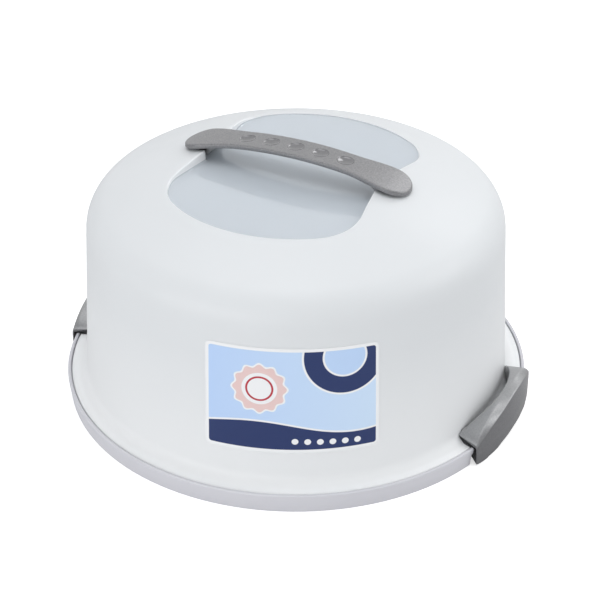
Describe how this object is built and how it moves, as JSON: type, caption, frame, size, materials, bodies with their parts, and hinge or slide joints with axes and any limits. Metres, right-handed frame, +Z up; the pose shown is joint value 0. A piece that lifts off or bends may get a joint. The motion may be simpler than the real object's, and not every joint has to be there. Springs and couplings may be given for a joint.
{
  "type": "cake carrier",
  "caption": "Round cake carrier: a shallow tray, a tall lift-off cover with a clear recessed window and strap handle, and two hinged latches that clamp the cover to the tray.",
  "frame": {"origin": "on the table under the middle of the tray", "axes": "+Z up; X runs along the handle, through the two latches; the label is on the -Y side"},
  "size_m": [0.359, 0.352, 0.1921],
  "materials": {
    "white_plastic": "white, lightly glossy moulded plastic",
    "frosted_plastic": "milky frosted moulded plastic with a clear window",
    "grey_handle": "grey moulded plastic with a fine grain",
    "grey_latch": "grey moulded plastic, satin",
    "printed_label": "printed film label"
  },
  "bodies": {
    "tray": {"base_tray": "white_plastic"},
    "cover": {"cover": "frosted_plastic", "handle": "grey_handle", "label": "printed_label"},
    "latch_right": {"latch_right": "grey_latch"},
    "latch_left": {"latch_left": "grey_latch"}
  },
  "joints": [
    {"name": "cover_lift", "type": "slide", "parent": "tray", "child": "cover", "axis": [0, 0, 1], "range_m": [0, 0.01]},
    {"name": "latch_right_hinge", "type": "hinge", "parent": "tray", "child": "latch_right", "pos_m": [0.1745, 0, 0.006], "axis": [0, 1, 0], "range_deg": [0, 90]},
    {"name": "latch_left_hinge", "type": "hinge", "parent": "tray", "child": "latch_left", "pos_m": [-0.1745, 0, 0.006], "axis": [0, -1, 0], "range_deg": [0, 90]}
  ],
  "couplings": [
    {"joint": "latch_right_hinge", "follows": "cover_lift", "rad_per_m": 157},
    {"joint": "latch_left_hinge", "follows": "cover_lift", "rad_per_m": 157}
  ]
}
